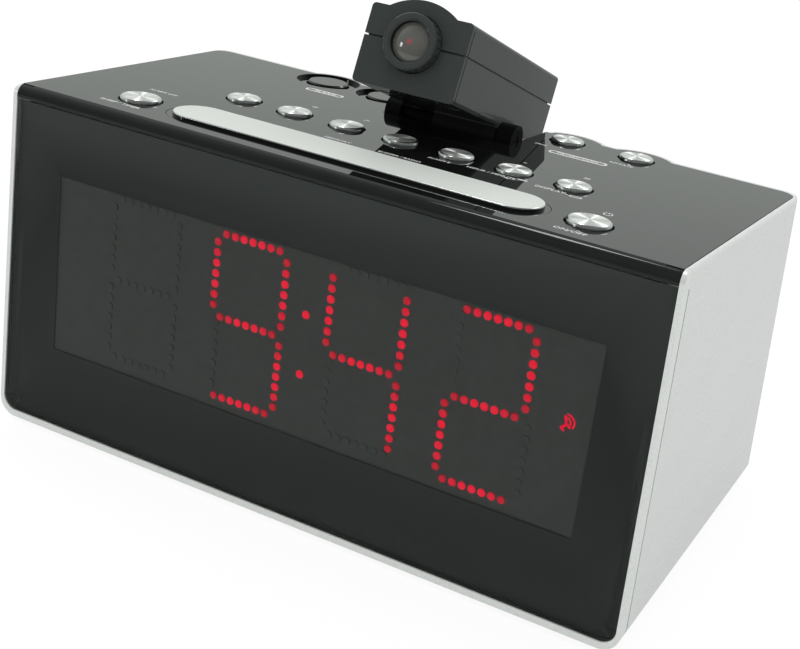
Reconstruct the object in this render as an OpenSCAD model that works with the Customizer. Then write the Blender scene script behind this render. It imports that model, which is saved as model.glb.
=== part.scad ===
/* [Case] */
// width of the silver case at its top front edge
case_w = 230; // [215:1:245]
// height of the silver case at its top front edge
case_h = 117.7; // [110:0.1:125]
// depth of the silver case, front bottom edge to rear wall
case_d = 125.1; // [118:0.1:135]
// how far the front leans back over its height
front_lean = 10.5; // [6:0.5:14]
// fall of the top towards the rear, degrees
slope_a = 6.77; // [4:0.01:9]
// flare of the sides towards the bottom, degrees
flare_a = 1.12; // [0:0.01:2]
// wall thickness of the silver shell
shell_t = 2.6; // [2:0.1:3.5]
// radius of the case's rounded bottom edges
foot_r = 6.5; // [3:0.5:9]
// radius of the upright rear edges
rear_r = 7; // [4:0.5:10]
// radius of the nose between front and top
nose_r = 3.6; // [2:0.1:4.2]
// height of the rubber feet
foot_h = 2; // [1:0.5:4]

/* [Front] */
// width of the silver rim beside the front panel
rim_w = 1.5; // [1:0.1:3]
// width of the silver rim below the front panel
rim_low = 2.3; // [1.5:0.1:4]
// depth of the silver front frame
frame_d = 5; // [4:0.1:7]
// thickness of the smoked front panel
panel_t = 2; // [1.5:0.1:3]
// height of the digits, dot row to dot row
digit_h = 54.8; // [40:0.1:60]
// spacing of the digits
digit_p = 41.9; // [36:0.1:46]
// radius of one light dot
dot_r = 1.3; // [0.8:0.1:1.6]

/* [Top] */
// thickness of the gloss top cover
cover_t = 2.5; // [2:0.1:3.5]
// length of the snooze bar
bar_l = 132; // [110:1:150]
// width of the snooze bar
bar_w = 18.8; // [14:0.1:24]
// radius of the small metal keys
key_r = 5.75; // [4.5:0.05:7]
// spacing of the small metal keys
key_p = 20.2; // [18:0.1:24]
// radius of the two large metal keys
big_r = 6.75; // [5.5:0.05:8]
// radius of the two black keys
alarm_r = 7.35; // [6:0.05:9]
// radius of the silver lobes behind the rear keys
lobe_r = 13.7; // [12:0.1:15]
// gap between a key and its hole
key_gap = 0.6; // [0.3:0.05:1]
// how far a key can be pushed in
key_travel = 0.8; // [0.4:0.1:1.5]

/* [Projector] */
// width of the projector head
head_w = 36.3; // [30:0.1:42]
// height of the projector head
head_h = 25.7; // [20:0.1:30]
// length of the projector head
head_l = 81; // [70:0.5:90]
// height of the seam between its two shells
seam_h = 15.4; // [12:0.1:18]
// tilt of the head from level, lens end up, degrees
head_a = 25; // [10:1:60]
// wall thickness of the head
head_t = 1.8; // [1.4:0.1:2.4]
// outer radius of the focus ring
ring_r = 9.2; // [7:0.1:11]
// half width of the pocket that the head sinks into
well_w = 24.3; // [22:0.1:28]
// depth of that pocket below the top
well_d = 39.5; // [38:0.5:46]

/* [Hidden] */
$fn = 64;
eps = 0.02;
lean_a = atan(front_lean / case_h);
tl = tan(lean_a);
ts = tan(slope_a);
tf = tan(flare_a);
// half the depth over everything, so that the part is centred on its own box
centre_y = 71.915;
// length of the front along its lean
front_l = case_h / cos(lean_a);
// the panel's top edge and the cover's front edge, along front and top
panel_top = front_l - 4.4;
cover_s = 2.85;
// length of the top along its slope
top_l = (case_d - front_lean) / cos(slope_a);
rim_back = rim_w;
// rear key row, and the key places along the top
rear_s = 106.5;
row_s = 52;
bar_s = 19.6;
row_x = [-3 * key_p, -2 * key_p, -key_p, 0, key_p, 2 * key_p, 3 * key_p];
big_x = 79;
lobe_x = [-60.6, -35.4, 35.4, 60.6];
cover_lobe = lobe_r - 1.5;
dish_r = 11.6;
dish_d = 1.2;
// hinge of the head, along the top's slope and over its surface
hinge_s = 89;
hinge_z = 0.5;
hinge_back = 44.6;
hinge_low = -2.46;
pin_r = 1.5;
knuckle_r = 5.2;
ear_x = 18.4;
knuckle_x = 5.5;
lens_up = 15.5;
// heights under the top surface
flange_top = -cover_t - 0.15;
flange_t = 1;
stem_end = -4.4;
board_top = -8.5;
board_t = 1.6;
// layers behind the front surface
panel_y = 0.4;
mask_y = panel_y + panel_t;
led_y = 3;
led_t = 8;
digit_x = [-61, -19.1, 22.8, 64.7];
digit_z = 62;
bar_pitch = 3.27;
post_pitch = 3.5;

// ---- frames of the leaning front, the sloping top and the tilted head ----
module rest() {
    translate([0, -centre_y, foot_h]) children();
}

module on_front() {
    rest() rotate([-lean_a, 0, 0]) children();
}

module on_top(x, s, h) {
    rest() translate([0, front_lean, case_h]) rotate([-slope_a, 0, 0]) translate([x, s, h]) children();
}

// in the head: x across, y back along it, z up, starting at its front bottom edge
module in_head() {
    on_top(0, hinge_s, hinge_z) rotate([slope_a - head_a, 0, 0])
        translate([0, -hinge_back, -hinge_low]) children();
}

module along_x(x0, x1) {
    translate([x0, 0, 0]) rotate([90, 0, 90]) linear_extrude(x1 - x0) children();
}

// ---- the case's block, set in by f, t, r, b and side from its own faces ----
module side_outline(f, t, r, b, nose) {
    fy = f / cos(lean_a);
    tz = t / cos(slope_a);
    vz = (case_h + front_lean * ts - fy * ts - tz) / (1 + tl * ts);
    vy = vz * tl + fy;
    ry = case_d - r;
    rz = case_h - (ry - front_lean) * ts - tz;
    run = nose * tan((90 - lean_a + slope_a) / 2);
    // centre of the nose, a hair outwards so that its arc crosses both faces
    cy = vy - run * sin(lean_a) + nose * cos(lean_a) - eps;
    cz = vz - run * cos(lean_a) - nose * sin(lean_a) + eps;
    far = 2 * nose;
    difference() {
        polygon([[b * tl + fy, b], [vy, vz], [ry, rz], [ry, b]]);
        if (nose > 0.1) difference() {
            polygon([[cy, cz], [cy - far * cos(lean_a), cz + far * sin(lean_a)], [cy - far, cz + far],
                [cy + far * sin(slope_a), cz + far * cos(slope_a)]]);
            translate([cy, cz]) circle(nose);
        }
    }
}

module front_outline(side, b, corner) {
    low = b - 1;
    high = case_h + 40;
    xl = case_w / 2 + (case_h - low) * tf - side / cos(flare_a);
    xh = case_w / 2 + (case_h - high) * tf - side / cos(flare_a);
    cz = b + corner - eps;
    cx = case_w / 2 + (case_h - cz) * tf - (side + corner - eps) / cos(flare_a);
    difference() {
        polygon([[-xl, low], [xl, low], [xh, high], [-xh, high]]);
        for (m = [0, 1]) mirror([m, 0]) difference() {
            translate([cx, low - 2]) square([corner + 4, corner + 3 - eps]);
            translate([cx, cz]) circle(corner);
        }
    }
}

module block(f, t, r, b, side, corner, nose) {
    rest() intersection() {
        along_x(-160, 160) side_outline(f, t, r, b, nose);
        translate([0, 200, 0]) rotate([90, 0, 0]) linear_extrude(400) front_outline(side, b, corner);
    }
}

module edge_tool(r, dx) {
    difference() {
        translate([-r + dx, -r + dx]) square(r + 3);
        translate([-r + dx, -r + dx]) circle(r);
    }
}

// the upright rear corners, set in from side and rear
module rear_corners(side, rear, r) {
    rest() for (m = [0, 1]) mirror([m, 0, 0]) translate([case_w / 2 + case_h * tf - side, case_d - rear, 0])
        rotate([0, -flare_a, 0]) translate([0, 0, -15]) linear_extrude(case_h + 40) edge_tool(r, eps);
}

module outer_block() {
    yaw = atan(tf * ts);
    top_r = 2;
    difference() {
        block(0, 0, 0, 0, 0, foot_r, nose_r);
        rear_corners(0, 0, rear_r);
        rest() for (m = [0, 1]) mirror([m, 0, 0]) {
            translate([case_w / 2, front_lean, case_h]) rotate([0, 0, -yaw]) rotate([-slope_a, 0, 0])
                translate([0, -30, 0]) rotate([-90, 0, 0]) linear_extrude(180) mirror([0, 1])
                translate([top_r * tf + eps, 0]) edge_tool(top_r, eps);
        }
    }
}

module behind(y0, y1) {
    on_front() translate([-150, y0, -30]) cube([300, y1 - y0, 200]);
}

module under_top(h0, h1) {
    on_top(-150, -40, h0) cube([300, 220, h1 - h0]);
}

// screw and foot places on the bottom lips
lip = 13;
screw_xy = [[-105.5, 20], [105.5, 20], [-105.5, 108], [105.5, 108], [-45, 117], [45, 117]];
foot_xy = [[-105.5, 34], [105.5, 34], [-105.5, 94], [105.5, 94]];

// ---- silver case ----
module cabinet_shell() {
    color([0.82, 0.83, 0.82]) difference() {
        union() {
            intersection() {
                outer_block();
                behind(frame_d + 0.1, 200);
            }
            for (x = lobe_x) on_top(x, rear_s, -44) cylinder(r = lobe_r, h = 44);
        }
        difference() {
            block(-20, -30, shell_t, shell_t, shell_t, 3.9, 0);
            rear_corners(shell_t, shell_t, rear_r - shell_t);
        }
        // seat of the top cover
        difference() {
            intersection() {
                block(-20, -30, rim_w, 20, rim_w, 1, 0);
                under_top(-cover_t - 0.1, 30);
            }
            rear_corners(rim_w, rim_w, rear_r - rim_w);
        }
        for (x = lobe_x) {
            on_top(x, rear_s, -cover_t - 0.1) cylinder(r = cover_lobe + 0.15, h = 10);
            on_top(x, rear_s, -50) cylinder(r = lobe_r - shell_t, h = 60);
        }
        on_top(-well_w - 2.15, 100, -well_d - 2.15) cube([2 * well_w + 4.3, 60, 80]);
        rest() translate([-99, 12, -1]) cube([198, case_d - lip - 12, 5]);
        for (p = screw_xy) rest() translate([p[0], p[1], -1]) {
            cylinder(r = 1.6, h = 6);
            cylinder(r = 3.1, h = 2.2);
        }
        for (p = foot_xy) rest() translate([p[0], p[1], -1]) cylinder(r = 2.6, h = 6);
        at_inlet() translate([0, 0, -5]) linear_extrude(15) round_rect(17.2, 10.2, 3.2);
    }
}

// ---- front: rim, panel, mask, bezel ----
module front_frame() {
    color([0.84, 0.85, 0.84]) difference() {
        union() {
            intersection() {
                outer_block();
                behind(0, frame_d);
            }
            intersection() {
                block(-20, 6, 20, shell_t + 0.1, shell_t + 0.1, 3.8, 0);
                behind(frame_d - 0.3, frame_d + 4);
            }
        }
        intersection() {
            block(-20, -30, -20, rim_low, rim_w, 5, 0);
            behind(-5, mask_y + 0.3);
        }
        intersection() {
            block(-20, -30, -20, rim_low + 3, rim_w + 3.5, 3, 0);
            behind(-5, frame_d + 10);
        }
        // seat of the top cover
        intersection() {
            block(-20, -30, -20, 20, rim_w + 0.03, 1, 0);
            under_top(-cover_t - 0.1, 30);
            behind(mask_y - 0.2, 20);
        }
        // groove down the sides, ending below the nose
        intersection() {
            difference() {
                block(-20, -30, -20, -5, -5, 1, 0);
                block(-40, -50, -40, 1.1, 1.1, foot_r, 0);
            }
            behind(frame_d - 0.7, frame_d + 0.05);
            on_front() translate([-150, -5, -5]) cube([300, 20, front_l - 0.8]);
        }
    }
}

module panel_area(y0, y1, z0, z1, side, corner) {
    intersection() {
        block(-20, -30, -20, rim_low + 0.15, side, corner, 0);
        on_front() translate([-150, y0, z0]) cube([300, y1 - y0, z1 - z0]);
    }
}

module front_panel() {
    color([0.2, 0.2, 0.2, 0.6]) panel_area(panel_y, mask_y, -5, panel_top, rim_w + 0.15, 4.9);
}

module display_mask() {
    color([0.03, 0.03, 0.03]) difference() {
        panel_area(mask_y, mask_y + 0.3, -5, panel_top - 1, rim_w + 0.15, 4.9);
        on_front() translate([-96, mask_y - 1, 29.8]) cube([192.5, 3, 61.2]);
    }
}

bezel_posts = [[-104.5, 22], [104.5, 22], [-104.5, 101], [104.5, 101]];
module display_bezel() {
    color([0.07, 0.07, 0.07]) {
        difference() {
            union() {
                intersection() {
                    block(-20, -30, -20, rim_low + 3.2, rim_w + 3.7, 2.8, 0);
                    on_front() translate([-150, mask_y + 0.32, -5]) cube([300, frame_d + 2 - mask_y, 113]);
                }
                for (p = bezel_posts) on_front() translate([p[0], led_y + led_t, p[1]]) rotate([90, 0, 0])
                    cylinder(r = 3, h = led_y + led_t - frame_d - 1);
            }
            on_front() translate([-98.4, -5, 27.6]) cube([196.8, 40, 68.8]);
            for (p = bezel_posts) on_front() translate([p[0], led_y + led_t + 1, p[1]]) rotate([90, 0, 0])
                cylinder(r = 1.05, h = 6);
        }
    }
}

// ---- display ----
module led_housings() {
    color([0.12, 0.12, 0.12]) {
        on_front() translate([-97.5, led_y, 28.5]) cube([195, led_t, 67]);
    }
}

// the segments that a digit can light: top, middle, bottom, then the four uprights
module dot(x, z) {
    translate([x, led_y - 0.02, z]) rotate([90, 0, 0]) cylinder(r = dot_r, h = 0.3, $fn = 8);
}

module segment(x, k) {
    for (i = [-3:3]) {
        if (k == 0) dot(x + i * bar_pitch, digit_z + 27.5);
        if (k == 1) dot(x + i * bar_pitch, digit_z - 0.1);
        if (k == 2) dot(x + i * bar_pitch, digit_z - 27.3);
        if (k == 3) dot(x - 12.7, digit_z + 13.9 + i * post_pitch);
        if (k == 4) dot(x + 12.7, digit_z + 13.9 + i * post_pitch);
        if (k == 5) dot(x - 12.7, digit_z - 13.6 + i * post_pitch);
        if (k == 6) dot(x + 12.7, digit_z - 13.6 + i * post_pitch);
    }
}

shown = [[], [0, 1, 2, 3, 4, 6], [1, 3, 4, 6], [0, 1, 2, 4, 5]];
dark = [[0, 1, 2, 3, 4, 5, 6], [5], [0, 2, 5], [3, 6]];
module led_dots_lit() {
    color([0.9, 0.1, 0.15]) on_front() {
        for (n = [1:3]) for (k = shown[n]) segment(digit_x[n], k);
        for (z = [52, 71.9]) dot(2.05, z);
        dot(90.6, 66.6);
    }
}

module led_dots_dark() {
    color([0.35, 0.1, 0.1]) on_front() for (n = [0:3]) for (k = dark[n]) segment(digit_x[n], k);
}

module display_board() {
    color([0.1, 0.35, 0.2]) difference() {
        on_front() translate([-109, led_y + led_t, 17]) cube([218, board_t, 88]);
        for (p = bezel_posts) on_front() translate([p[0], 20, p[1]]) rotate([90, 0, 0])
            cylinder(r = 1.4, h = 12);
    }
}

// ---- top: nose strip, cover, pocket ----
module top_front_strip() {
    color([0.05, 0.05, 0.05]) difference() {
        intersection() {
            block(0, 0, 0, 0, rim_w + 0.2, 1, nose_r);
            union() {
                on_front() translate([-150, -1, panel_top + 0.25]) cube([300, 5.2, 10]);
                on_front() translate([-107, mask_y + 0.4, panel_top - 5]) cube([214, 1.4, 7]);
            }
        }
        on_top(-150, cover_s - 0.12, -cover_t - 0.1) cube([300, 50, 40]);
        for (m = [0, 1]) mirror([m, 0, 0])
            on_front() translate([108.5, mask_y - 0.05, -5]) cube([30, 30, 140]);
    }
}

module pill(l, w) {
    square([l - w, w], center = true);
    for (m = [-1, 1]) translate([m * (l - w) / 2, 0]) circle(w / 2);
}

cover_posts = [[-90, 40], [90, 40], [-30, 36], [30, 36], [-90, 70], [90, 70], [-88, 105], [88, 105]];
module top_cover() {
    color([0.06, 0.06, 0.06]) difference() {
        union() {
            difference() {
                intersection() {
                    block(-20, 0, rim_w + 0.15, 20, rim_w + 0.25, 1, 0);
                    on_top(-150, cover_s, -cover_t) cube([300, 200, cover_t + 1]);
                }
                rear_corners(rim_w + 0.25, rim_w + 0.15, rear_r - rim_w - 0.2);
            }
            for (x = lobe_x) on_top(x, rear_s, -cover_t) cylinder(r = cover_lobe, h = cover_t);
            for (p = cover_posts) on_top(p[0], p[1], board_top) cylinder(r = 3.2, h = -board_top - 1);
        }
        on_top(-well_w, 83, -10) cube([2 * well_w, 60, 20]);
        on_top(0, bar_s, -10) linear_extrude(20) pill(bar_l + 2 * key_gap, bar_w + 2 * key_gap);
        for (x = row_x) on_top(x, row_s, -10) cylinder(r = key_r + key_gap, h = 20);
        for (m = [-1, 1]) on_top(m * big_x, bar_s, -10) cylinder(r = big_r + key_gap, h = 20);
        for (x = [35.4, 60.6]) on_top(x, rear_s, -10) cylinder(r = key_r + key_gap, h = 20);
        for (x = [-35.4, -60.6]) {
            on_top(x, rear_s, -10) cylinder(r = alarm_r + key_gap, h = 20);
            on_top(x, rear_s, -dish_d) cylinder(r = dish_r, h = 5);
        }
        for (p = cover_posts) on_top(p[0], p[1], board_top - 1) cylinder(r = 1.05, h = 6);
    }
}

module projector_well() {
    t = 2;
    color([0.05, 0.05, 0.05]) difference() {
        intersection() {
            union() {
                on_top(-well_w - t, 83 - t, -well_d - t)
                    cube([2 * well_w + 2 * t, 60, well_d + t - cover_t - 0.1]);
                on_top(-well_w - 5, 83 - 5, -cover_t - 1.7) cube([2 * well_w + 10, 16, 1.6]);
                for (m = [0, 1]) mirror([m, 0, 0]) ear();
            }
            block(-20, -30, 0, 0, 0, 1, 0);
        }
        difference() {
            on_top(-well_w, 83, -well_d) cube([2 * well_w, 60, well_d + 20]);
            for (m = [0, 1]) mirror([m, 0, 0]) ear();
        }
        on_top(0, hinge_s, hinge_z) along_x(-30, 30) circle(pin_r);
        // slot for the leads
        on_top(-5, 78, -20) cube([10, 8, 6]);
    }
}

module ear() {
    on_top(0, hinge_s, hinge_z) along_x(ear_x, well_w - 0.2) circle(5);
    on_top(ear_x, hinge_s - 5, -13) cube([well_w - ear_x - 0.2, 10, 13 + hinge_z]);
    on_top(ear_x, hinge_s - 5, -13) cube([well_w - ear_x + 0.5, 10, 10]);
}

module hinge_pin() {
    color([0.75, 0.75, 0.77]) on_top(0, hinge_s, hinge_z)
        along_x(-well_w + 0.4, well_w - 0.4) circle(pin_r - 0.01);
}

module friction_washers() {
    // a thin washer at the right ear, a spacer from the left ear to the knuckle
    spots = [[ear_x - 0.37, 0.34], [-ear_x + 0.03, ear_x - knuckle_x - 0.06]];
    color([0.55, 0.5, 0.3]) on_top(0, hinge_s, hinge_z) for (p = spots)
        along_x(p[0], p[0] + p[1]) difference() {
            circle(2.35);
            circle(pin_r + 0.05);
        }
}

// ---- keys: cap above the cover, flange under it, stem over its switch ----
module round_key(x, s, r, cap, edge) {
    hole = r + key_gap;
    on_top(x, s, 0) rotate_extrude() polygon([[0, stem_end], [2.5, stem_end], [2.5, flange_top - flange_t],
        [hole + 0.9, flange_top - flange_t], [hole + 0.9, flange_top], [r, flange_top], [r, cap - edge],
        [r - edge, cap], [0, cap]]);
}

module snooze_bar() {
    cap = 1.7;
    edge = 1.1;
    w = bar_w / 2;
    half = [[0, flange_top - flange_t], [w + 1.8, flange_top - flange_t],
        [w + 1.8, flange_top], [w, flange_top],
        [w, cap - edge], [w - edge, cap], [0, cap]];
    color([0.83, 0.84, 0.83]) {
        on_top(0, bar_s, 0) {
            along_x(-bar_l / 2 + w, bar_l / 2 - w) polygon([for (p = half) [p[0], p[1]]]);
            along_x(-bar_l / 2 + w, bar_l / 2 - w) mirror([1, 0]) polygon([for (p = half) [p[0], p[1]]]);
            for (m = [-1, 1]) translate([m * (bar_l / 2 - w), 0, 0]) rotate_extrude() polygon(half);
            for (x = [-45, 0, 45]) translate([x, 0, stem_end]) cylinder(r = 2.5, h = 2);
        }
    }
}

module sleep_key() {
    color([0.85, 0.85, 0.86]) round_key(-big_x, bar_s, big_r, 1.2, 0.4);
}

module power_key() {
    color([0.85, 0.85, 0.86]) round_key(big_x, bar_s, big_r, 1.2, 0.4);
}

module row_key(n) {
    color([0.85, 0.85, 0.86]) round_key(row_x[n], row_s, key_r, 1.1, 0.4);
}

module rear_key(x) {
    color([0.85, 0.85, 0.86]) round_key(x, rear_s, key_r, 1.1, 0.4);
}

module alarm_key(x) {
    color([0.04, 0.04, 0.04]) round_key(x, rear_s, alarm_r, 0, 0.5);
}

// ---- board under the keys ----
switch_at = [[-big_x, bar_s], [-45, bar_s], [0, bar_s], [45, bar_s], [big_x, bar_s],
    [row_x[0], row_s], [row_x[1], row_s], [row_x[2], row_s], [row_x[3], row_s], [row_x[4], row_s],
    [row_x[5], row_s], [row_x[6], row_s], [-60.6, rear_s], [-35.4, rear_s], [35.4, rear_s], [60.6, rear_s]];
module key_board() {
    color([0.1, 0.35, 0.2]) difference() {
        union() {
            on_top(-97, 14, board_top - board_t) cube([194, 60, board_t]);
            for (m = [0, 1]) mirror([m, 0, 0])
                on_top(30, 73, board_top - board_t) cube([62, 38.5, board_t]);
        }
        for (p = cover_posts) on_top(p[0], p[1], board_top - 5) cylinder(r = 1.4, h = 8);
    }
}

module key_switches() {
    color([0.15, 0.15, 0.16]) for (p = switch_at) on_top(p[0], p[1], board_top) {
        translate([-3, -3, 0]) cube([6, 6, 2.4]);
        cylinder(r = 1.7, h = stem_end - 0.9 - board_top, $fn = 12);
    }
}

// ---- bottom ----
bay = [-34, 26, 68, 36];
speaker_xy = [-68, 62];
door_run = 6.3;
module base_plate() {
    door_l = bay[3] - 2 + door_run;
    color([0.06, 0.06, 0.065]) rest() difference() {
        union() {
            translate([-98.7, 12.3, 0.4]) cube([197.4, case_d - lip - 12.6, 2.5]);
            difference() {
                translate([-111.5, 9.9, shell_t + 0.1]) cube([223, case_d - 13.2, 2.2]);
                translate([-94, 17, 0]) cube([188, case_d - lip - 22, 10]);
            }
            for (p = screw_xy) translate([p[0], p[1], shell_t + 0.1]) cylinder(r = 3.2, h = 8);
            translate([bay[0] - 1.6, bay[1] - 1.6, 1]) cube([bay[2] + 3.2, bay[3] + 3.2, 19.6]);
            translate([bay[0], bay[1] + bay[3] - 1, 1]) cube([bay[2], door_run + 2.5, 3.4]);
            for (p = board_at) translate([p[0], p[1], 2]) cylinder(r = 3.2, h = main_z - 2);
            translate([speaker_xy[0], speaker_xy[1], 2]) difference() {
                cylinder(r = 30, h = 5.5);
                translate([0, 0, 0.9]) cylinder(r = 27, h = 8);
            }
            for (y = [30, 84]) translate([84, y, 2]) cube([12, 4, 9]);
        }
        translate([bay[0], bay[1], 3]) cube([bay[2], bay[3], 16]);
        // door opening: narrow below, wide above, so that the door's flanges rest in it
        translate([bay[0] + 3.5, bay[1] + 1, -1]) cube([bay[2] - 7, bay[3] - 2, 10]);
        translate([bay[0] + 1.5, bay[1] + 1, 1.3]) cube([bay[2] - 3, bay[3] - 2, 5]);
        // blind recess that the door slides into
        translate([bay[0] + 3.5, bay[1] + 1, -1]) cube([bay[2] - 7, door_l, 3.65]);
        translate([bay[0] + 1.5, bay[1] + 1, 1.3]) cube([bay[2] - 3, door_l, 1.35]);
        for (p = screw_xy) translate([p[0], p[1], 2]) cylinder(r = 1.3, h = 8);
        for (p = board_at) translate([p[0], p[1], main_z - 8]) cylinder(r = 1.05, h = 12);
        for (i = [-4:4])
            translate([speaker_xy[0] + i * 5.4 - 1.2, speaker_xy[1] - sqrt(625 - i * i * 29), 0])
            cube([2.4, 2 * sqrt(625 - i * i * 29), 6]);
        for (y = [30, 84]) translate([90, y - 1, 14]) rotate([-90, 0, 0]) cylinder(r = 4.1, h = 8);
    }
}

module speaker() {
    color([0.2, 0.2, 0.21]) rest() translate([speaker_xy[0], speaker_xy[1], 0]) rotate_extrude() polygon([
        [0, 14], [3, 11], [10, 11], [24, 7.6], [28.5, 7.6], [28.5, 9.1], [25, 9.1],
        [14, 20], [16, 20], [16, 30],
        [0, 30]]);
}

module battery_door() {
    color([0.06, 0.06, 0.065]) rest() difference() {
        union() {
            translate([bay[0] + 3.8, bay[1] + 1.3, 0.5]) cube([bay[2] - 7.6, bay[3] - 2.6, 2]);
            translate([bay[0] + 1.8, bay[1] + 1.3, 1.4]) cube([bay[2] - 3.6, bay[3] - 2.6, 1.1]);
        }
        for (i = [0:3]) translate([-10, bay[1] + 6 + 2.2 * i, 0]) cube([20, 1, 1]);
    }
}

module batteries() {
    color([0.2, 0.35, 0.2]) rest() for (y = [bay[1] + 9.6, bay[1] + 26.4]) translate([0, y, 10.9]) {
        along_x(-25.2, 23.8) circle(7.2);
        along_x(23.7, 25.2) circle(2.7);
    }
}

module battery_contacts() {
    color([0.8, 0.8, 0.78]) rest() for (y = [bay[1] + 9.6, bay[1] + 26.4]) {
        translate([bay[0] + 0.3, y - 5, 5]) cube([0.5, 10, 11]);
        translate([bay[0] + bay[2] - 0.8, y - 5, 5]) cube([0.5, 10, 11]);
        translate([bay[0] + 0.7, y, 10.9]) along_x(0, 8) difference() {
            circle(3.4);
            circle(2.6);
        }
        translate([bay[0] + bay[2] - 8.7, y, 10.9]) along_x(0, 8) difference() {
            circle(3.4);
            circle(2.9);
        }
    }
}

module rubber_feet() {
    color([0.12, 0.12, 0.12]) rest() for (p = foot_xy) {
        translate([p[0], p[1], -foot_h]) cylinder(r = 5.2, h = foot_h);
        translate([p[0], p[1], -0.5]) cylinder(r = 2.55, h = 3);
    }
}

module round_rect(w, h, k) {
    square([w - 2 * k, h], center = true);
    square([w, h - 2 * k], center = true);
    for (a = [-1, 1]) for (b = [-1, 1]) translate([a * (w / 2 - k), b * (h / 2 - k)]) circle(k);
}

// at the power inlet, looking into the rear wall
module at_inlet() {
    rest() translate([80, case_d, 23]) rotate([90, 0, 0]) children();
}

module power_inlet() {
    color([0.1, 0.1, 0.1]) at_inlet() difference() {
        union() {
            translate([0, 0, 3]) linear_extrude(13) round_rect(20, 12, 2);
            translate([0, 0, 0.4]) linear_extrude(3) round_rect(16.8, 9.8, 3);
        }
        translate([0, 0, -1]) linear_extrude(11) round_rect(14.4, 7.4, 2.6);
    }
    color([0.8, 0.8, 0.78]) at_inlet() for (x = [-4, 4]) translate([x, 0, 2.5]) cylinder(r = 1.1, h = 7.5);
}

// ---- boards inside ----
main_z = 24;
board_at = [[-42, 22], [42, 22], [-42, 104], [42, 104]];
module main_board() {
    color([0.1, 0.35, 0.2]) difference() {
        rest() translate([-47, 17, main_z]) cube([94, 92, board_t]);
        rest() for (p = board_at) translate([p[0], p[1], main_z - 2]) cylinder(r = 1.4, h = 5);
    }
}

module board_parts() {
    color([0.2, 0.2, 0.22]) rest() {
        translate([-12, 34, main_z + board_t]) cube([18, 18, 2]);
        translate([18, 60, main_z + board_t]) cube([12, 8, 1.8]);
        translate([-34, 60, main_z + board_t]) cube([10, 20, 8]);
        for (p = [[-30, 40], [-30, 52], [30, 80]])
            translate([p[0], p[1], main_z + board_t]) cylinder(r = 4, h = 13);
        for (i = [0:4]) translate([-8 + 8 * i, 88, main_z + board_t]) cube([3, 6, 2.2]);
        translate([28, 36, main_z + board_t]) cube([8, 14, 6]);
    }
}

module ferrite_antenna() {
    color([0.25, 0.24, 0.24]) rest() translate([90, 0, 14]) rotate([-90, 0, 0]) {
        translate([0, 0, 28]) cylinder(r = 4, h = 64);
        translate([0, 0, 44]) cylinder(r = 5.4, h = 30);
    }
}

module screw(r, l, head, head_h) {
    cylinder(r = head, h = head_h, $fn = 24);
    cylinder(r = r, h = l, $fn = 24);
}

module case_screws() {
    color([0.6, 0.6, 0.6]) rest()
        for (p = screw_xy) translate([p[0], p[1], 0.2]) screw(1.25, 8.5, 2.9, 0.95);
}

module board_screws() {
    color([0.6, 0.6, 0.6]) {
        for (p = cover_posts) on_top(p[0], p[1], board_top - board_t - 1.3) screw(1, 5, 2.3, 1.25);
        for (p = board_at) rest() translate([p[0], p[1], main_z + board_t + 1.3]) mirror([0, 0, 1])
            screw(1, 7, 2.3, 1.25);
        for (p = bezel_posts)
            on_front() translate([p[0], led_y + led_t + board_t + 1.3, p[1]]) rotate([90, 0, 0])
            screw(1, 5, 2.3, 1.25);
    }
}

// ---- projector head ----
module head_outline(inset) {
    r = 1.4;
    w = head_w - 2 * inset;
    h = head_h - 2 * inset;
    k = max(r - inset, 0.4);
    translate([0, head_h / 2]) {
        square([w - 2 * k, h], center = true);
        square([w, h - 2 * k], center = true);
        for (a = [-1, 1]) for (b = [-1, 1]) translate([a * (w / 2 - k), b * (h / 2 - k)]) circle(k);
    }
}

module along_head(y0, y1) {
    translate([0, y1, 0]) rotate([90, 0, 0]) linear_extrude(y1 - y0) children();
}

module head_block(z0, z1) {
    intersection() {
        along_head(0, head_l) head_outline(0);
        translate([-30, -1, z0]) cube([60, head_l + 2, z1 - z0]);
    }
}

module head_void(z0, z1) {
    intersection() {
        along_head(head_t, head_l - head_t) head_outline(head_t);
        translate([-30, -1, z0]) cube([60, head_l + 2, z1 - z0]);
    }
}

module lens_axis(y0, y1, r) {
    translate([0, y1, lens_up]) rotate([90, 0, 0]) cylinder(r = r, h = y1 - y0);
}

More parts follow.
